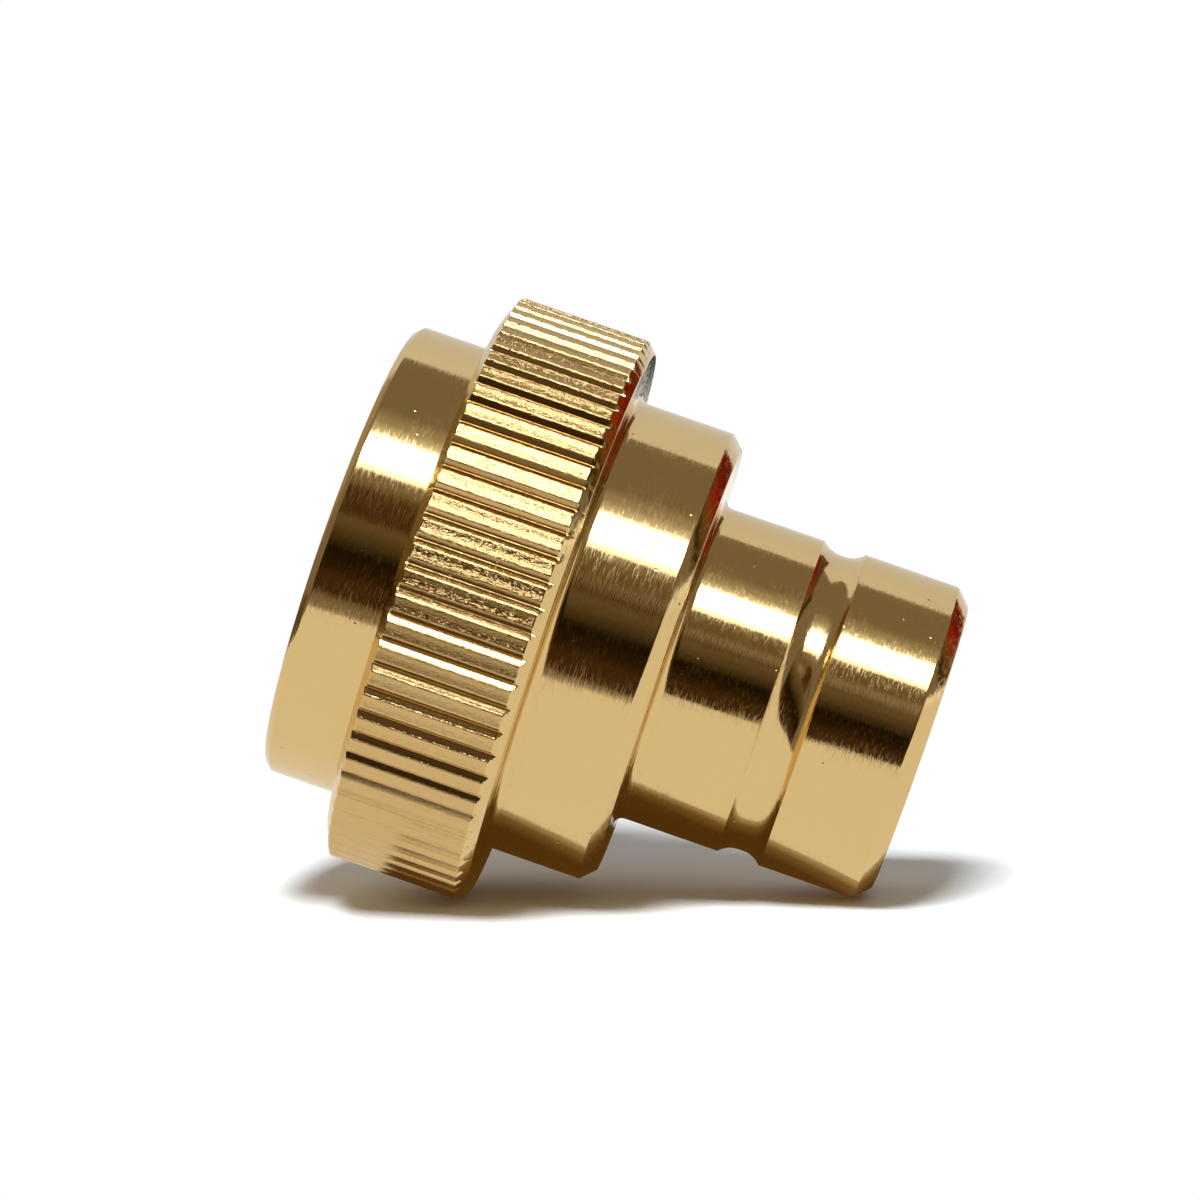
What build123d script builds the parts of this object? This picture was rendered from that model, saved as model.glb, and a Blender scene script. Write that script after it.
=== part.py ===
from build123d import *
import os

# Screw-on adapter body turned from one piece of free-cutting brass bar.
# The body stands on its socket end: the axis is +Z, the socket end face is z = 0
# and the nose points up.  All lengths are in millimetres.

# Knurled grip ring
ring_dia = 38.0
ring_width = 9.7
ring_front_chamfer = 0.7
ring_back_chamfer = 0.55
ring_back_chamfer_depth = 1.3
knurl_count = 72
knurl_depth = 0.22
knurl_mouth = 0.63

# Spigot behind the ring, at the socket end
spigot_dia = 30.3
spigot_length = 5.3
spigot_chamfer = 0.45

# Shoulder in front of the ring
shoulder_dia = 30.3
shoulder_length = 7.3
shoulder_chamfer = 0.9

# Taper that the tool leaves in the inside corners in front of the ring and the shoulder
root_taper = 0.45

# Nose with its locking groove
nose_dia = 21.1
nose_length = 17.0
nose_chamfer = 1.0
lock_groove_width = 2.8
lock_groove_depth = 0.55
lock_groove_from_shoulder = 8.3

# Socket for a trapezoidal thread: bored to the thread's crest, with a relief at its
# inner end and a mouth chamfer that both reach the thread's root
thread_nominal_dia = 21.0
thread_pitch = 4.0
thread_root_clearance = 0.25
relief_width = 4.0
socket_depth = 17.5

# Gas passage between the socket and the nose
passage_dia = 5.0

# Seat bored in the nose end
nose_bore_dia = 12.0
nose_bore_depth = 7.0
nose_bore_chamfer = 0.8

# Stations along the axis
ring_back = spigot_length
ring_front = ring_back + ring_width
shoulder_end = ring_front + shoulder_length
nose_end = shoulder_end + nose_length
groove_middle = shoulder_end + lock_groove_from_shoulder
groove_start = groove_middle - lock_groove_width / 2
groove_end = groove_middle + lock_groove_width / 2
relief_start = socket_depth - relief_width
nose_bore_floor = nose_end - nose_bore_depth

ring_radius = ring_dia / 2
spigot_radius = spigot_dia / 2
shoulder_radius = shoulder_dia / 2
nose_radius = nose_dia / 2
passage_radius = passage_dia / 2
nose_bore_radius = nose_bore_dia / 2
thread_crest_radius = (thread_nominal_dia - thread_pitch) / 2
thread_root_radius = thread_nominal_dia / 2 + thread_root_clearance
socket_mouth_chamfer = thread_root_radius - thread_crest_radius

with BuildPart() as body:
    with BuildSketch(Plane.XZ) as half_section:
        with BuildLine() as outline:
            # outside, from the socket end up to the nose end
            Polyline(
                (thread_root_radius, 0),
                (spigot_radius - spigot_chamfer, 0),
                (spigot_radius, spigot_chamfer),
                (spigot_radius, ring_back),
                (ring_radius - ring_back_chamfer_depth, ring_back),
                (ring_radius, ring_back + ring_back_chamfer),
                (ring_radius, ring_front - ring_front_chamfer),
                (ring_radius - ring_front_chamfer, ring_front),
                (shoulder_radius + root_taper, ring_front),
                (shoulder_radius, ring_front + root_taper),
                (shoulder_radius, shoulder_end - shoulder_chamfer),
                (shoulder_radius - shoulder_chamfer, shoulder_end),
                (nose_radius + root_taper, shoulder_end),
                (nose_radius, shoulder_end + root_taper),
                (nose_radius, groove_start),
            )
            ThreePointArc(
                (nose_radius, groove_start),
                (nose_radius - lock_groove_depth, groove_middle),
                (nose_radius, groove_end),
            )
            Polyline(
                (nose_radius, groove_end),
                (nose_radius, nose_end - nose_chamfer),
                (nose_radius - nose_chamfer, nose_end),
                (nose_bore_radius + nose_bore_chamfer, nose_end),
                (nose_bore_radius, nose_end - nose_bore_chamfer),
                (nose_bore_radius, nose_bore_floor),
                (passage_radius, nose_bore_floor),
                (passage_radius, socket_depth),
                (thread_root_radius, socket_depth),
                (thread_root_radius, relief_start),
                (thread_crest_radius, relief_start),
                (thread_crest_radius, socket_mouth_chamfer),
                (thread_root_radius, 0),
            )
        make_face()
    revolve(axis=Axis.Z)

    # straight V grooves of the knurl, pressed through the ring and out of its chamfers
    with BuildSketch(Plane.XY.offset(ring_back)) as knurl:
        with PolarLocations(ring_radius, knurl_count):
            Polygon(
                (-knurl_depth, 0),
                (knurl_depth, -knurl_mouth),
                (knurl_depth, knurl_mouth),
                align=None,
            )
    extrude(amount=ring_width, mode=Mode.SUBTRACT)

body.part.label = "adapter_body"

os.makedirs("parts", exist_ok=True)
export_step(body.part, "parts/adapter_body.step")
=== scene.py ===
import math

import bmesh
import bpy
from mathutils import Matrix, Vector


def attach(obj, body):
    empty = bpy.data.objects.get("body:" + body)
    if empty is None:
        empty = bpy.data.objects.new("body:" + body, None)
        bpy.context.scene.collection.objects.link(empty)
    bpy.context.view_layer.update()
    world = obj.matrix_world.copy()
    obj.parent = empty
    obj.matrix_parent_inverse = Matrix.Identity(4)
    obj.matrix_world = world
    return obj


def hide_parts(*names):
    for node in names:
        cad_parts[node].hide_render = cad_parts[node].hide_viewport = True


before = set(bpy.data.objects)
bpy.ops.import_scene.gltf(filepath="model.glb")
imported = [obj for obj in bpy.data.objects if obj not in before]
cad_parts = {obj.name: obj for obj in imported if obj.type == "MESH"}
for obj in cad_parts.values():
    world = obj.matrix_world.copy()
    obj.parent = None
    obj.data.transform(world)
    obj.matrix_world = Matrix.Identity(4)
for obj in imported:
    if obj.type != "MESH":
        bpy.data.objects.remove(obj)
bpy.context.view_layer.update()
bpy.ops.object.select_all(action="DESELECT")
mm = 0.001


# ---------------------------------------------------------------- viewpoint
# A long lens a little above the table looks across the part, which lies on its side on the
# edge of its knurled ring and the tip of its nose, with the nose to the right.
camera_across = Vector((-0.329066, 0.031778, 0.943772))
camera_upward = Vector((-0.943814, -0.043358, -0.327621))
camera_back = camera_across.cross(camera_upward)
bpy.ops.object.camera_add(location=(6.614 * mm, -289.245 * mm, 29.576 * mm))
camera = bpy.context.object
camera.name = "camera"
camera.matrix_world = Matrix.Translation(camera.location) @ Matrix(
    (camera_across, camera_upward, camera_back)).transposed().to_4x4()
camera.data.lens = 134.73
camera.data.sensor_width = 36.0
camera.data.clip_start = 0.01
camera.data.clip_end = 20.0
bpy.context.scene.camera = camera


# ---------------------------------------------------------------- turned body
# The whole adapter, turned from free-cutting brass bar: socket end, knurled ring, shoulder
# and nose with its lock groove, bored through. The tool leaves small fillets in the corners.
spigot_radius = 15.15
spigot_chamfer = 0.45
ring_back_z = 5.3
ring_radius = 19.0
ring_back_chamfer = 0.55
ring_back_chamfer_depth = 1.3
ring_front_z = 15.0
ring_front_chamfer = 0.7
shoulder_z = 22.3
shoulder_chamfer = 0.9
nose_radius = 10.55
nose_end_z = 39.3
nose_chamfer = 1.0
groove_middle_z = 30.6
groove_half_width = 1.4
groove_depth = 0.55
groove_squareness = 2.6
nose_bore_radius = 6.0
nose_bore_floor_z = 32.3
nose_bore_chamfer = 0.8
passage_radius = 2.5
socket_floor_z = 17.5
thread_root_radius = 10.75
mouth_break = 0.15
root_fillet = 0.6
small_fillet = 0.25
edge_break = 0.08
groove_edge_break = 0.06
knurl_edge_break = 0.04
knurl_count = 72
knurl_pitch = 360.0 / knurl_count
runout_depths = (0.05, 0.1, 0.17, 0.24, 0.3)
back_slope = ring_back_chamfer / ring_back_chamfer_depth
same_place = 0.01 * mm
same_turn = 0.01


def groove_points(steps):
    """Points of the lock groove, from the ring's side to the tip's side: nearly flat along the
    bottom, rounding up into two steep sides."""
    points = []
    for i in range(steps + 1):
        way = math.sin(math.pi * (i / steps - 0.5))
        depth = groove_depth * (1.0 - abs(way) ** groove_squareness)
        points.append((nose_radius - depth, groove_middle_z + groove_half_width * way))
    return points


def draw_outline(name, points):
    """Draws a line through these radii and heights, in millimetres, and leaves it in edit mode."""
    bpy.ops.mesh.primitive_plane_add(size=1.0 * mm, location=(0.0, 0.0, 0.0))
    piece = bpy.context.object
    piece.name = name
    bpy.ops.object.mode_set(mode="EDIT")
    bpy.ops.mesh.merge(type="CENTER")
    bpy.ops.transform.translate(value=(points[0][0] * mm, 0.0, points[0][1] * mm))
    for (r0, z0), (r1, z1) in zip(points, points[1:]):
        bpy.ops.mesh.extrude_region_move(
            TRANSFORM_OT_translate={"value": ((r1 - r0) * mm, 0.0, (z1 - z0) * mm)})
    return piece


def select_vertices(piece, wanted):
    """Selects the vertices, of a piece in edit mode, that pass a test."""
    bm = bmesh.from_edit_mesh(piece.data)
    for v in bm.verts:
        v.select = wanted(v)
    bm.select_flush_mode()
    bmesh.update_edit_mesh(piece.data)


def is_end(vertex):
    """Whether a vertex is one of the two ends of a line."""
    return len(vertex.link_edges) == 1


def round_corners(piece, size, segments, places):
    """Rounds an outline's corners at these radii and heights, in millimetres."""
    select_vertices(piece, lambda v: any(
        abs(v.co.x - r * mm) < same_place and abs(v.co.z - z * mm) < same_place
        for r, z in places))
    bpy.ops.mesh.bevel(offset=size * mm, offset_type="OFFSET", segments=segments, profile=0.5,
                       affect="VERTICES", clamp_overlap=False)


body = draw_outline("turned_body", [
    (thread_root_radius + mouth_break, 0.0),
    (spigot_radius - spigot_chamfer, 0.0),
    (spigot_radius, spigot_chamfer),
    (spigot_radius, ring_back_z),
    (ring_radius - ring_back_chamfer_depth, ring_back_z),
] + [
    (ring_radius - depth, ring_back_z + ring_back_chamfer - depth * back_slope)
    for depth in reversed(runout_depths)
] + [
    (ring_radius, ring_back_z + ring_back_chamfer),
    (ring_radius, ring_front_z - ring_front_chamfer),
] + [
    (ring_radius - depth, ring_front_z - ring_front_chamfer + depth) for depth in runout_depths
] + [
    (ring_radius - ring_front_chamfer, ring_front_z),
    (spigot_radius, ring_front_z),
    (spigot_radius, shoulder_z - shoulder_chamfer),
    (spigot_radius - shoulder_chamfer, shoulder_z),
    (nose_radius, shoulder_z),
] + groove_points(20) + [
    (nose_radius, nose_end_z - nose_chamfer),
    (nose_radius - nose_chamfer, nose_end_z),
    (nose_bore_radius + nose_bore_chamfer, nose_end_z),
    (nose_bore_radius, nose_end_z - nose_bore_chamfer),
    (nose_bore_radius, nose_bore_floor_z),
    (passage_radius, nose_bore_floor_z),
    (passage_radius, socket_floor_z),
    (thread_root_radius, socket_floor_z),
    (thread_root_radius, mouth_break),
])
select_vertices(body, is_end)
bpy.ops.mesh.edge_face_add()

round_corners(body, root_fillet, 6, [(spigot_radius, ring_front_z), (nose_radius, shoulder_z)])
round_corners(body, small_fillet, 4, [
    (spigot_radius, ring_back_z), (nose_bore_radius, nose_bore_floor_z),
    (thread_root_radius, socket_floor_z)])
round_corners(body, edge_break, 3, [
    (spigot_radius - spigot_chamfer, 0.0), (spigot_radius, spigot_chamfer),
    (ring_radius - ring_back_chamfer_depth, ring_back_z),
    (ring_radius - ring_front_chamfer, ring_front_z),
    (spigot_radius, shoulder_z - shoulder_chamfer), (spigot_radius - shoulder_chamfer, shoulder_z),
    (nose_radius, nose_end_z - nose_chamfer), (nose_radius - nose_chamfer, nose_end_z),
    (nose_bore_radius + nose_bore_chamfer, nose_end_z),
    (nose_bore_radius, nose_end_z - nose_bore_chamfer),
    (passage_radius, nose_bore_floor_z), (passage_radius, socket_floor_z),
    (thread_root_radius + mouth_break, 0.0), (thread_root_radius, mouth_break)])
round_corners(body, groove_edge_break, 3, [
    (nose_radius, groove_middle_z - groove_half_width),
    (nose_radius, groove_middle_z + groove_half_width)])
round_corners(body, knurl_edge_break, 1, [
    (ring_radius, ring_back_z + ring_back_chamfer),
    (ring_radius, ring_front_z - ring_front_chamfer)])

# one pitch of the knurl: how deep the ring's surface lies, in millimetres, at each turn in
# degrees from the groove's middle. Rolling throws up a lip on each side of the groove, and
# the land between two grooves is slightly hollow.
knurl_form = [
    (-2.5, 0.03), (-2.2, 0.03), (-1.9, 0.025), (-1.6, 0.014), (-1.3, 0.004), (-1.08, 0.001),
    (-0.98, 0.01), (-0.88, 0.036), (-0.04, 0.31), (0.08, 0.33), (0.18, 0.318), (0.4, 0.26),
    (0.8, 0.153), (1.2, 0.05), (1.4, 0.01), (1.5, 0.002), (1.8, 0.006), (2.2, 0.024), (2.5, 0.03)]
plain_turns = (-2.5, -1.08, 0.08, 1.5, 2.5)


def turn_of(vertex):
    """A vertex's turn about the part's axis, in degrees."""
    return math.degrees(math.atan2(vertex.co.y, vertex.co.x))


# the outline is turned back to the first turn of the form, and spun on through the others
bpy.ops.mesh.select_all(action="SELECT")
bpy.ops.transform.rotate(value=math.radians(knurl_pitch / 2), orient_axis="Z",
                         center_override=(0.0, 0.0, 0.0))
for (turn, _), (next_turn, _) in zip(knurl_form, knurl_form[1:]):
    bpy.ops.mesh.spin(steps=1, angle=math.radians(turn - next_turn), center=(0.0, 0.0, 0.0),
                      axis=(0.0, 0.0, 1.0))

# the knurl: each column of the ring is pressed in to its depth, and so runs out in the chamfers
for turn, depth in knurl_form:
    bottom = (ring_radius - depth) * mm
    column = [v.co.xy.length for v in bmesh.from_edit_mesh(body.data).verts
              if abs(turn_of(v) - turn) < same_turn]
    for outer in sorted({round(length, 7) for length in column if length > bottom}):
        select_vertices(body, lambda v: abs(turn_of(v) - turn) < same_turn
                        and abs(v.co.xy.length - outer) < 0.0002 * mm)
        inward = bottom / outer
        bpy.ops.transform.resize(value=(inward, inward, 1.0), center_override=(0.0, 0.0, 0.0))

# away from the ring the body needs fewer columns
bpy.ops.mesh.select_mode(type="EDGE")
bpy.ops.mesh.select_all(action="DESELECT")
bm = bmesh.from_edit_mesh(body.data)
for e in bm.edges:
    one, other = e.verts
    turn = turn_of(one)
    e.select_set(abs(turn - turn_of(other)) < same_turn
                 and all(abs(turn - plain) > same_turn for plain in plain_turns)
                 and min(one.co.xy.length, other.co.xy.length)
                 < (ring_radius - ring_back_chamfer_depth) * mm - same_place)
bm.select_flush_mode()
bmesh.update_edit_mesh(body.data)
bpy.ops.mesh.dissolve_edges(use_verts=True)
bpy.ops.mesh.select_mode(type="VERT")
bpy.ops.mesh.select_all(action="DESELECT")
bpy.ops.object.mode_set(mode="OBJECT")

# the pitch is repeated round the axis
bpy.ops.object.empty_add(location=(0.0, 0.0, 0.0),
                         rotation=(0.0, 0.0, math.radians(knurl_pitch)))
next_pitch = bpy.context.object
bpy.ops.object.select_all(action="DESELECT")
body.select_set(True)
bpy.context.view_layer.objects.active = body
bpy.ops.object.modifier_add(type="ARRAY")
pitches = body.modifiers[-1]
pitches.count = knurl_count
pitches.use_relative_offset = False
pitches.use_object_offset = True
pitches.offset_object = next_pitch
pitches.use_merge_vertices = True
pitches.use_merge_vertices_cap = True
pitches.merge_threshold = 0.002 * mm
bpy.ops.object.modifier_apply(modifier=pitches.name)
bpy.data.objects.remove(next_pitch)
bpy.ops.object.mode_set(mode="EDIT")
bpy.ops.mesh.select_all(action="SELECT")
bpy.ops.mesh.normals_make_consistent(inside=False)
bpy.ops.object.mode_set(mode="OBJECT")

bpy.ops.object.shade_smooth_by_angle(angle=math.radians(24.0))
bpy.ops.object.modifier_add(type="WEIGHTED_NORMAL")
even_shading = body.modifiers[-1]
even_shading.keep_sharp = True
even_shading.weight = 100
bpy.ops.object.modifier_apply(modifier=even_shading.name)

brass_colour = (0.78, 0.58, 0.27, 1.0)
pit_colour = (0.3, 0.19, 0.07, 1.0)
knurl_colour = (0.7, 0.49, 0.215, 1.0)
bright_roughness = 0.07
dull_roughness = 0.2
knurl_roughness = 0.11
knurl_dull_roughness = 0.15
pit_roughness = 0.3
pit_tint = 0.6
mark_depth = 0.005 * mm
long_mark_share = 0.3
land_grain_share = 3.6
pit_share = 3.0

brass = bpy.data.materials.new("turned_brass")
brass.use_nodes = True
brass_nodes = brass.node_tree.nodes
brass_links = brass.node_tree.links
shader = brass_nodes["Principled BSDF"]
shader.inputs["Metallic"].default_value = 1.0
shader.inputs["Anisotropic"].default_value = 0.6
shader.inputs["Anisotropic Rotation"].default_value = 0.25
tangent = brass_nodes.new("ShaderNodeTangent")
tangent.direction_type = "RADIAL"
tangent.axis = "Z"
brass_links.new(tangent.outputs["Tangent"], shader.inputs["Tangent"])
place = brass_nodes.new("ShaderNodeTexCoord").outputs["Object"]
apart = brass_nodes.new("ShaderNodeSeparateXYZ")
brass_links.new(place, apart.inputs["Vector"])


def reckon(operation, *values):
    """A maths node of the brass, fed with numbers or other nodes' results; gives its result."""
    made = brass_nodes.new("ShaderNodeMath")
    made.operation = operation
    for socket, value in zip(made.inputs, values):
        if isinstance(value, float):
            socket.default_value = value
        else:
            brass_links.new(value, socket)
    return made.outputs["Value"]


def step_between(value, low, high):
    """A soft step of a result of the brass's nodes, from 0 at low to 1 at high."""
    made = brass_nodes.new("ShaderNodeMapRange")
    made.interpolation_type = "SMOOTHSTEP"
    made.inputs["From Min"].default_value = low
    made.inputs["From Max"].default_value = high
    brass_links.new(value, made.inputs["Value"])
    return made.outputs["Result"]


radius = reckon("ADD", reckon("SQRT", reckon(
    "ADD", reckon("MULTIPLY", apart.outputs["X"], apart.outputs["X"]),
    reckon("MULTIPLY", apart.outputs["Y"], apart.outputs["Y"]))), 0.00001)
# the tool travels along the barrels and, with its own feed, across the faces and chamfers
feed_across = 0.4
path_of_tool = reckon("ADD", apart.outputs["Z"], reckon("MULTIPLY", radius, feed_across))


def strokes(round_the_axis, along_the_axis, detail):
    """Noise drawn out by the lathe: its cells per radian, and per metre along the part."""
    spot = brass_nodes.new("ShaderNodeCombineXYZ")
    for side in "XY":
        share = reckon("DIVIDE", apart.outputs[side], radius)
        brass_links.new(reckon("MULTIPLY", share, round_the_axis), spot.inputs[side])
    brass_links.new(reckon("MULTIPLY", path_of_tool, along_the_axis), spot.inputs["Z"])
    noise = brass_nodes.new("ShaderNodeTexNoise")
    noise.inputs["Scale"].default_value = 1.0
    noise.inputs["Detail"].default_value = detail
    brass_links.new(spot.outputs["Vector"], noise.inputs["Vector"])
    return noise.outputs["Fac"]


# the marks of turning: long fine scratches, and short dull strokes where the tool chattered
long_marks = strokes(5.0, 14000.0, 2.0)
short_marks = strokes(22.0, 11000.0, 2.0)
patches = strokes(3.0, 300.0, 1.0)
dull = reckon("MULTIPLY", step_between(short_marks, 0.42, 0.68), reckon(
    "ADD", 0.5, reckon("MULTIPLY", step_between(patches, 0.35, 0.7), 0.5)))

# the rolled knurl is duller, with a grain along its grooves that is coarsest on its lands
knurl_middle_z = (ring_back_z + ring_back_chamfer + ring_front_z - ring_front_chamfer) / 2
knurl_reach = ring_front_z - ring_front_chamfer - knurl_middle_z
from_middle = reckon("ABSOLUTE", reckon("SUBTRACT", apart.outputs["Z"], knurl_middle_z * mm))
knurled = reckon(
    "MULTIPLY", step_between(radius, (ring_radius - 0.8) * mm, (ring_radius - 0.6) * mm),
    reckon("SUBTRACT", 1.0, step_between(from_middle, (knurl_reach - 0.1) * mm,
                                         (knurl_reach + 0.05) * mm)))
drawn = brass_nodes.new("ShaderNodeMapping")
drawn.inputs["Scale"].default_value = (26000.0, 26000.0, 2500.0)
brass_links.new(place, drawn.inputs["Vector"])
rolled = brass_nodes.new("ShaderNodeTexNoise")
rolled.inputs["Scale"].default_value = 1.0
rolled.inputs["Detail"].default_value = 2.0
brass_links.new(drawn.outputs["Vector"], rolled.inputs["Vector"])
on_land = step_between(radius, (ring_radius - 0.09) * mm, (ring_radius - 0.04) * mm)
grain = reckon("MULTIPLY", reckon("ADD", 1.0, reckon("MULTIPLY", on_land, land_grain_share)),
               reckon("SUBTRACT", rolled.outputs["Fac"], 0.5))

# small pits in the metal
spread = brass_nodes.new("ShaderNodeTexVoronoi")
spread.inputs["Scale"].default_value = 620.0
brass_links.new(place, spread.inputs["Vector"])
pits = reckon("SUBTRACT", 1.0, step_between(spread.outputs["Distance"], 0.025, 0.07))

roughness = reckon("MULTIPLY", dull, reckon(
    "SUBTRACT", dull_roughness, reckon("MULTIPLY", knurled, knurl_dull_roughness)))
roughness = reckon("ADD", reckon("ADD", roughness, bright_roughness),
                   reckon("MULTIPLY", knurled, knurl_roughness))
brass_links.new(reckon("ADD", roughness, reckon("MULTIPLY", pits, pit_roughness)),
                shader.inputs["Roughness"])
height = reckon("ADD", reckon("MULTIPLY", long_marks, long_mark_share), short_marks)
height = reckon("MULTIPLY", height, reckon("SUBTRACT", 1.0, knurled))
height = reckon("ADD", height, reckon("MULTIPLY", knurled, grain))
marks = brass_nodes.new("ShaderNodeBump")
marks.inputs["Distance"].default_value = mark_depth
brass_links.new(reckon("SUBTRACT", height, reckon("MULTIPLY", pits, pit_share)),
                marks.inputs["Height"])
brass_links.new(marks.outputs["Normal"], shader.inputs["Normal"])
tint = brass_nodes.new("ShaderNodeMix")
tint.data_type = "RGBA"
tint.inputs["A"].default_value = brass_colour
tint.inputs["B"].default_value = pit_colour
brass_links.new(reckon("MULTIPLY", pits, pit_tint), tint.inputs["Factor"])
deeper = brass_nodes.new("ShaderNodeMix")
deeper.data_type = "RGBA"
deeper.inputs["B"].default_value = knurl_colour
brass_links.new(tint.outputs["Result"], deeper.inputs["A"])
brass_links.new(knurled, deeper.inputs["Factor"])
brass_links.new(deeper.outputs["Result"], shader.inputs["Base Color"])

body.data.materials.append(brass)
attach(body, "root")
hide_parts("adapter_body")


# ---------------------------------------------------------------- socket thread
# The right-hand trapezoidal thread cut in the socket's wall with a boring tool, from the mouth,
# where a chamfer cuts it off at a slant, to the relief at the bottom of the socket.
thread_pitch = 4.0
thread_turns = 5
thread_start_z = -3.013
thread_mouth_z = 0.02
thread_end_z = 13.5
thread_crest_radius = 8.5
crest_half_width = 0.73
root_half_width = 1.35
crest_round = 0.12
wall_overlap = 0.06
wall_gap = 0.02
foot_radius = thread_root_radius + wall_overlap

thread = draw_outline("socket_thread", [
    (foot_radius, thread_start_z - root_half_width),
    (thread_crest_radius, thread_start_z - crest_half_width),
    (thread_crest_radius, thread_start_z + crest_half_width),
    (foot_radius, thread_start_z + root_half_width),
])
round_corners(thread, crest_round, 2, [
    (thread_crest_radius, thread_start_z - crest_half_width),
    (thread_crest_radius, thread_start_z + crest_half_width)])
select_vertices(thread, is_end)
bpy.ops.mesh.edge_face_add()
bpy.ops.mesh.select_all(action="DESELECT")
bpy.ops.object.mode_set(mode="OBJECT")
bpy.ops.object.modifier_add(type="SCREW")
helix = thread.modifiers[-1]
helix.screw_offset = thread_pitch * mm
helix.angle = 2 * math.pi
helix.iterations = thread_turns
helix.steps = 120
helix.render_steps = 120
helix.use_merge_vertices = False
bpy.ops.object.modifier_apply(modifier=helix.name)
bpy.ops.object.mode_set(mode="EDIT")
bpy.ops.mesh.select_all(action="SELECT")
bpy.ops.mesh.bisect(plane_co=(0.0, 0.0, thread_mouth_z * mm), plane_no=(0.0, 0.0, 1.0),
                    use_fill=True, clear_inner=True)
bpy.ops.mesh.select_all(action="SELECT")
bpy.ops.mesh.normals_make_consistent(inside=False)
bpy.ops.object.mode_set(mode="OBJECT")


def cut_away(tool):
    """Takes a tool's shape out of the thread."""
    bpy.ops.object.select_all(action="DESELECT")
    thread.select_set(True)
    bpy.context.view_layer.objects.active = thread
    bpy.ops.object.modifier_add(type="BOOLEAN")
    cut = thread.modifiers[-1]
    cut.object = tool
    cut.operation = "DIFFERENCE"
    cut.solver = "EXACT"
    bpy.ops.object.modifier_apply(modifier=cut.name)
    bpy.data.objects.remove(tool)


# the relief at the thread's end, and the slanting cut at the mouth, which starts outside it
relief_tool_radius = 12.0
relief_tool_length = 10.0
bpy.ops.mesh.primitive_cylinder_add(
    vertices=120, radius=relief_tool_radius * mm, depth=relief_tool_length * mm,
    location=(0.0, 0.0, (thread_end_z + relief_tool_length / 2) * mm))
cut_away(bpy.context.object)
cone_start = 1.0
cone_radius = thread_root_radius + wall_gap + cone_start
cone_length = foot_radius - thread_crest_radius + cone_start
bpy.ops.mesh.primitive_cone_add(
    vertices=120, radius1=cone_radius * mm, radius2=(cone_radius - cone_length) * mm,
    depth=cone_length * mm, location=(0.0, 0.0, (cone_length / 2 - cone_start) * mm))
cut_away(bpy.context.object)
bpy.ops.object.select_all(action="DESELECT")
thread.select_set(True)
bpy.ops.object.shade_smooth_by_angle(angle=math.radians(30.0))
thread.data.materials.clear()
thread.data.materials.append(brass)
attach(thread, "root")
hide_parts("adapter_body")


# ---------------------------------------------------------------- studio
# A white table with its front edge close to the part, a pale wall far behind it, a softbox over
# the front of the table, a dim room round them, and a red and a black card beside the wall.
table_lean = math.radians(19.4)
table_turn = math.radians(7.6)
toward_table = Vector((math.cos(table_turn), math.sin(table_turn), 0.0))
set_up = -toward_table * math.cos(table_lean) - Vector((0.0, 0.0, math.sin(table_lean)))
set_front = (camera_back - camera_back.dot(set_up) * set_up).normalized()
set_right = set_up.cross(set_front)
set_axes = Matrix((set_right, set_up, set_front)).transposed()
set_centre = Vector((0.0, 0.0, 20.0 * mm))
ring_edge = Vector((0.0, 0.0, (ring_front_z - ring_front_chamfer) * mm))
table_point = toward_table * ring_radius * mm + ring_edge


def set_place(right, up, front):
    """A point given in metres to the right of, above and in front of the middle of the part."""
    return set_centre + set_axes @ Vector((right, up, front))


def glow(name, colour, strength=1.0):
    """A plain glowing material for a card of the set."""
    made = bpy.data.materials.new(name)
    made.use_nodes = True
    tree = made.node_tree
    tree.nodes.remove(tree.nodes["Principled BSDF"])
    light = tree.nodes.new("ShaderNodeEmission")
    light.name = "light"
    light.inputs["Color"].default_value = (*colour, 1.0)
    light.inputs["Strength"].default_value = strength
    tree.links.new(light.outputs["Emission"], tree.nodes["Material Output"].inputs["Surface"])
    return made


def stand_card(name, middle, wide, high, facing, colour, side=None, strength=1.0):
    """A flat glowing card of the set, which the lens doesn't see but the metal does."""
    bpy.ops.mesh.primitive_plane_add(size=1.0)
    card = bpy.context.object
    card.name = name
    normal = (facing - middle).normalized()
    side = (side or set_up.cross(normal)).normalized()
    turn = Matrix((side, normal.cross(side), normal)).transposed().to_4x4()
    card.data.transform(Matrix.Translation(middle) @ turn @ Matrix.Diagonal((wide, high, 1.0, 1.0)))
    card.visible_camera = False
    card.visible_shadow = False
    card.data.materials.append(glow(name + "_paint", colour, strength))
    return card


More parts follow.
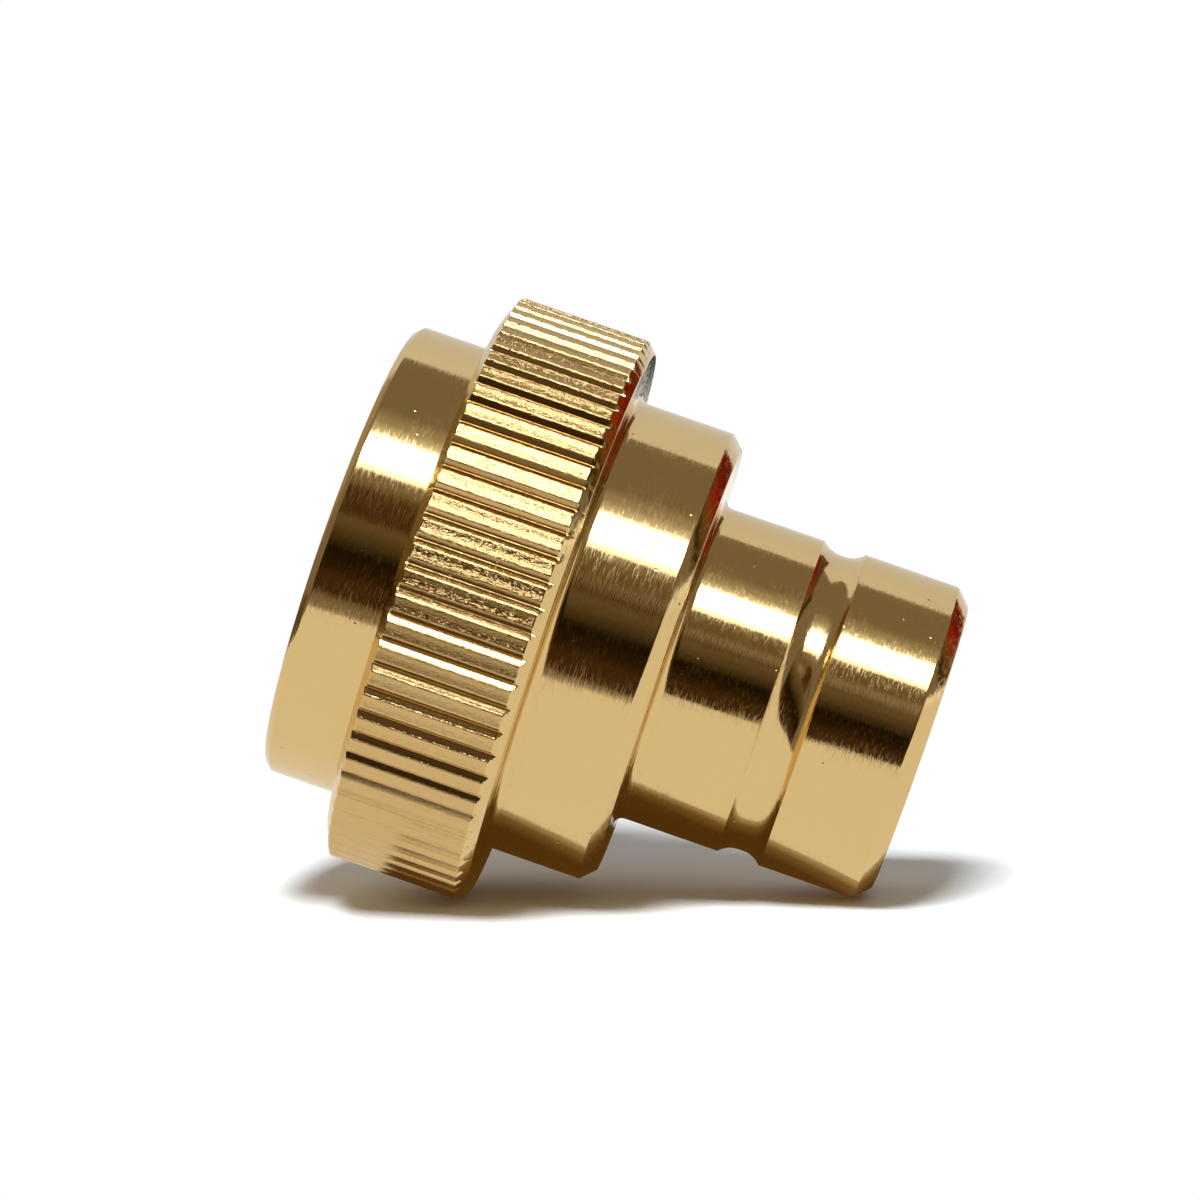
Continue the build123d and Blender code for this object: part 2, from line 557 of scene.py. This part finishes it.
def shade_along(card, low, high, steps):
    """Shades a card's glow from a low point to a high point, through (place, colour) steps."""
    tree = card.active_material.node_tree
    direction = (high - low).normalized()
    spot = tree.nodes.new("ShaderNodeTexCoord")
    along = tree.nodes.new("ShaderNodeVectorMath")
    along.operation = "DOT_PRODUCT"
    along.inputs[1].default_value = direction
    tree.links.new(spot.outputs["Object"], along.inputs[0])
    share = tree.nodes.new("ShaderNodeMapRange")
    share.inputs["From Min"].default_value = low.dot(direction)
    share.inputs["From Max"].default_value = high.dot(direction)
    tree.links.new(along.outputs["Value"], share.inputs["Value"])
    shade = tree.nodes.new("ShaderNodeValToRGB")
    shade.color_ramp.elements[0].position = steps[0][0]
    shade.color_ramp.elements[0].color = (*steps[0][1], 1.0)
    shade.color_ramp.elements[1].position = steps[-1][0]
    shade.color_ramp.elements[1].color = (*steps[-1][1], 1.0)
    for part_way, colour in steps[1:-1]:
        shade.color_ramp.elements.new(part_way).color = (*colour, 1.0)
    tree.links.new(share.outputs["Result"], shade.inputs["Fac"])
    tree.links.new(shade.outputs["Color"], tree.nodes["light"].inputs["Color"])


def grey(level):
    """A colour without a hue."""
    return (level, level, level)


def toward(azimuth, elevation, distance):
    """A place seen from the part: degrees to the right of straight back, and above level."""
    azimuth, elevation = math.radians(azimuth), math.radians(elevation)
    return set_place(math.sin(azimuth) * math.cos(elevation) * distance,
                     math.sin(elevation) * distance,
                     -math.cos(azimuth) * math.cos(elevation) * distance)


# the table, whose paper the metal mirrors as one even, warm glow
table_wide = 1.15
table_deep = 1.2
table_front = 61.5 * mm
bpy.ops.mesh.primitive_plane_add(size=1.0)
table = bpy.context.object
table.name = "table"
drop = (table_point - set_centre).dot(set_up)
lying = Matrix((set_right, -set_front, set_up)).transposed().to_4x4()
table.data.transform(Matrix.Translation(set_place(0.325, drop, table_front - table_deep / 2))
                     @ lying @ Matrix.Diagonal((table_wide, table_deep, 1.0, 1.0)))
paper = bpy.data.materials.new("table_paper")
paper.use_nodes = True
paper_nodes = paper.node_tree.nodes
paper_links = paper.node_tree.links
paper_nodes.remove(paper_nodes["Principled BSDF"])
seen = paper_nodes.new("ShaderNodeBsdfDiffuse")
seen.inputs["Color"].default_value = (0.9, 0.94, 0.98, 1.0)
mirrored = paper_nodes.new("ShaderNodeEmission")
mirrored.inputs["Color"].default_value = (0.85, 0.8, 0.73, 1.0)
from_lens = paper_nodes.new("ShaderNodeLightPath").outputs["Is Camera Ray"]
pick = paper_nodes.new("ShaderNodeMixShader")
paper_links.new(from_lens, pick.inputs["Fac"])
paper_links.new(mirrored.outputs["Emission"], pick.inputs[1])
paper_links.new(seen.outputs["BSDF"], pick.inputs[2])

# far from the part the paper is plain white: nearer for the lens than for the metal
away = paper_nodes.new("ShaderNodeVectorMath")
away.operation = "DISTANCE"
away.inputs[1].default_value = table_point
paper_links.new(paper_nodes.new("ShaderNodeTexCoord").outputs["Object"], away.inputs[0])


def white_beyond(near, far):
    """How white the paper has become with distance, from 0 at near to 1 at far."""
    made = paper_nodes.new("ShaderNodeMapRange")
    made.interpolation_type = "SMOOTHSTEP"
    made.inputs["From Min"].default_value = near
    made.inputs["From Max"].default_value = far
    paper_links.new(away.outputs["Value"], made.inputs["Value"])
    return made.outputs["Result"]


for_lens = paper_nodes.new("ShaderNodeMath")
for_lens.operation = "MULTIPLY"
paper_links.new(white_beyond(45.0 * mm, 95.0 * mm), for_lens.inputs[0])
paper_links.new(from_lens, for_lens.inputs[1])
whole = paper_nodes.new("ShaderNodeMath")
whole.operation = "MAXIMUM"
paper_links.new(for_lens.outputs["Value"], whole.inputs[0])
paper_links.new(white_beyond(150.0 * mm, 320.0 * mm), whole.inputs[1])
white = paper_nodes.new("ShaderNodeEmission")
whiten = paper_nodes.new("ShaderNodeMixShader")
paper_links.new(whole.outputs["Value"], whiten.inputs["Fac"])
paper_links.new(pick.outputs["Shader"], whiten.inputs[1])
paper_links.new(white.outputs["Emission"], whiten.inputs[2])

# seen from below, the table is clear
behind = paper_nodes.new("ShaderNodeNewGeometry")
clear = paper_nodes.new("ShaderNodeBsdfTransparent")
one_sided = paper_nodes.new("ShaderNodeMixShader")
paper_links.new(behind.outputs["Backfacing"], one_sided.inputs["Fac"])
paper_links.new(whiten.outputs["Shader"], one_sided.inputs[1])
paper_links.new(clear.outputs["BSDF"], one_sided.inputs[2])
paper_links.new(one_sided.outputs["Shader"], paper_nodes["Material Output"].inputs["Surface"])
table.data.materials.append(paper)

# painted shadow: a brown glowing card, seen only by the metal, stands in for the part's own shade on
# the paper as its underside mirrors it, with a clean front edge
shade_length = 0.0378
shade_lift = 0.00002
shade_run = (set_front + set_right * 0.07).normalized()
shade_back = table_point + set_right * 0.0122 - shade_run * 0.03 + set_up * shade_lift
shade_front = shade_back + shade_run * shade_length
shade_middle = (shade_back + shade_front) / 2
shade = stand_card("shade", shade_middle, 0.036, shade_length, shade_middle + set_up,
                   (0.08, 0.035, 0.003), set_up.cross(shade_run))
shade_along(shade, shade_front, shade_back, [
    (0.0, (0.5, 0.4, 0.28)), (0.035, (0.2, 0.12, 0.04)), (0.09, (0.1, 0.045, 0.008)),
    (0.4, (0.078, 0.033, 0.002))])
shade.visible_diffuse = False

# the softbox over the front of the table, which runs along the part and fades toward the back
part_up = Vector((-0.99953, -0.03054, 0.0))
part_front = Vector((0.03054, -0.99953, 0.0))
softbox_distance = 1.2
softbox_shift = Vector((0.0, 0.0, -0.15))


def over_the_part(angle):
    """A point of the softbox: degrees from straight back, over the top of the part, to the front."""
    angle = math.radians(angle)
    way = part_up * math.sin(angle) - part_front * math.cos(angle)
    return set_centre + softbox_shift + way * softbox_distance


softbox_low = over_the_part(140.6)
softbox_high = over_the_part(106.5)
softbox = stand_card("softbox", (softbox_low + softbox_high) / 2, 1.05,
                     (softbox_high - softbox_low).length, set_centre + softbox_shift,
                     grey(1.0), Vector((0.0, 0.0, 1.0)), strength=16.0)
shade_along(softbox, softbox_low, softbox_high, [
    (0.0, grey(0.085)), (0.09, grey(0.14)), (0.18, grey(0.3)), (0.26, grey(1.0)),
    (0.43, grey(1.0)), (0.5, grey(0.3)), (0.61, grey(0.06)), (0.7, (0.034, 0.031, 0.0265)),
    (0.8, (0.0244, 0.0213, 0.0156)), (1.0, (0.0171, 0.0138, 0.0094))])
softbox.visible_diffuse = False

# the pale wall behind, and its end turned toward the part
wall_distance = 1.0
wall = stand_card("back_wall", set_place(0.005, 0.79, -wall_distance), 1.51, 1.82,
                  set_place(0.005, 0.79, 0.0), grey(1.0))
wall_end = stand_card("wall_end", toward(34.0, 0.0, 0.97) + set_up * 0.724, 0.49, 1.69,
                      set_place(0.0, 0.724, 0.0), grey(1.0))
for card in (wall, wall_end):
    shade_along(card, set_place(0.0, -0.12, -wall_distance), set_place(0.0, 1.7, -wall_distance), [
        (0.0, (0.9, 0.86, 0.82)), (0.12, (0.74, 0.71, 0.68)), (0.25, (0.67, 0.65, 0.6)),
        (0.45, (0.69, 0.67, 0.62)), (1.0, (0.8, 0.78, 0.76))])

# the red, the rust and the black card beside the wall, and two paler ones to the left
red_card = stand_card("red_card", toward(50.7, 11.8, 0.9), 0.55, 0.19, set_centre,
                      (0.23, 0.013, 0.003))
shade_along(red_card, toward(34.0, 11.8, 0.9), toward(67.5, 11.8, 0.9), [
    (0.0, (0.2, 0.03, 0.012)), (0.14, (0.15, 0.01, 0.001)), (0.45, (0.16, 0.01, 0.001)),
    (0.7, (0.25, 0.012, 0.001)), (1.0, (0.25, 0.05, 0.012))])
stand_card("rust_card", toward(50.7, 24.3, 0.9), 0.5, 0.2, set_centre, (0.11, 0.05, 0.02))
black_card = stand_card("black_card", toward(75.2, 14.0, 0.9), 0.26, 0.44, set_centre,
                        (0.03, 0.021, 0.01))
shade_along(black_card, toward(67.0, 14.0, 0.9), toward(83.4, 14.0, 0.9), [
    (0.0, (0.2, 0.06, 0.018)), (0.4, (0.13, 0.07, 0.022)), (0.65, (0.04, 0.025, 0.005)),
    (0.85, (0.05, 0.035, 0.01)), (1.0, (0.13, 0.1, 0.05))])
stand_card("left_card", toward(-54.0, 31.0, 1.0), 0.62, 0.5, set_centre, (0.4, 0.325, 0.23))
stand_card("low_left_card", toward(-75.0, 1.0, 1.0), 0.5, 0.17, set_centre,
           (0.113, 0.083, 0.037))

# a dark edge behind the part, which only the ring's flat face shows
edge_card = stand_card("edge_card", set_place(0.032, 0.0025, -0.24), 0.024, 0.017,
                       set_place(0.032, 0.0025, 0.0), (0.04, 0.045, 0.04))
shade_along(edge_card, set_place(0.0, -0.006, -0.24), set_place(0.0, 0.011, -0.24), [
    (0.0, grey(0.9)), (0.235, grey(0.5)), (0.353, (0.2, 0.205, 0.2)),
    (0.47, (0.06, 0.067, 0.06)), (0.576, (0.022, 0.03, 0.022)), (1.0, (0.02, 0.026, 0.02))])

# the dim room: a shell round everything, darker on the camera's side
bpy.ops.mesh.primitive_uv_sphere_add(segments=48, ring_count=24, radius=3.0)
room = bpy.context.object
room.name = "room"
room.data.transform(Matrix.Translation(set_centre) @ set_axes.to_4x4())
room.visible_camera = False
room.visible_shadow = False
room.visible_diffuse = False
room.data.materials.append(glow("room_paint", (0.228, 0.181, 0.126)))

side_distance = 1.5
side_low = -0.4
side_high = 1.24
side_tall = side_high - side_low
side_middle = (side_low + side_high) / 2
camera_side = stand_card("camera_side", set_place(0.0, side_middle, side_distance), 3.6, side_tall,
                         set_place(0.0, side_middle, 0.0), (0.1, 0.08, 0.04))


def height_share(elevation):
    """Where a degree of elevation lies between the low and high edge of the camera's side."""
    return (math.tan(math.radians(elevation)) * side_distance - side_low) / side_tall


shade_along(camera_side, set_place(0.0, side_low, side_distance),
            set_place(0.0, side_high, side_distance), [
    (height_share(-14.0), (0.058, 0.027, 0.007)), (height_share(-5.0), (0.056, 0.026, 0.007)),
    (height_share(-1.0), (0.028, 0.013, 0.002)), (height_share(4.0), (0.018, 0.009, 0.001)),
    (height_share(7.5), (0.008, 0.004, 0.0003)), (height_share(11.0), (0.05, 0.034, 0.013)),
    (height_share(19.0), (0.131, 0.091, 0.043)), (height_share(27.0), (0.2, 0.155, 0.1)),
    (height_share(33.0), (0.157, 0.112, 0.053)), (height_share(39.5), (0.19, 0.145, 0.075))])
stand_card("dark_side", set_place(-0.26, 0.88, 1.45), 0.68, 0.54, set_place(-0.26, 0.88, 0.0),
           (0.07, 0.033, 0.01))
stand_card("pale_side", set_place(0.37, 0.77, 1.45), 0.47, 0.17, set_place(0.37, 0.77, 0.0),
           (0.3, 0.243, 0.178))

# the lamp that lights the table and casts the part's shadow on it
bpy.ops.object.light_add(type="AREA", location=set_place(-0.06, 0.5, 0.33))
fill = bpy.context.object
fill.name = "fill_lamp"
fill.rotation_mode = "QUATERNION"
fill.rotation_quaternion = (fill.location - set_centre).to_track_quat("Z", "Y")
fill.data.shape = "RECTANGLE"
fill.data.size = 0.22
fill.data.size_y = 0.18
fill.data.energy = 5.3
fill.visible_glossy = False
fill.visible_camera = False

# the world is white to the lens and to mirrors, and lights dull surfaces only a little
sky_on_dull = 0.2
world = bpy.data.worlds.new("studio")
bpy.context.scene.world = world
world.use_nodes = True
sky_nodes = world.node_tree.nodes
sky_links = world.node_tree.links
path = sky_nodes.new("ShaderNodeLightPath")
seen_or_mirrored = sky_nodes.new("ShaderNodeMath")
seen_or_mirrored.operation = "MAXIMUM"
sky_links.new(path.outputs["Is Camera Ray"], seen_or_mirrored.inputs[0])
sky_links.new(path.outputs["Is Glossy Ray"], seen_or_mirrored.inputs[1])
or_seen_through = sky_nodes.new("ShaderNodeMath")
or_seen_through.operation = "MAXIMUM"
sky_links.new(seen_or_mirrored.outputs["Value"], or_seen_through.inputs[0])
sky_links.new(path.outputs["Is Transmission Ray"], or_seen_through.inputs[1])
level = sky_nodes.new("ShaderNodeMapRange")
level.inputs["To Min"].default_value = sky_on_dull
level.inputs["To Max"].default_value = 1.0
sky_links.new(or_seen_through.outputs["Value"], level.inputs["Value"])
sky_nodes["Background"].inputs["Color"].default_value = (1.0, 1.0, 1.0, 1.0)
sky_links.new(level.outputs["Result"], sky_nodes["Background"].inputs["Strength"])

bpy.context.scene.view_settings.view_transform = "Standard"
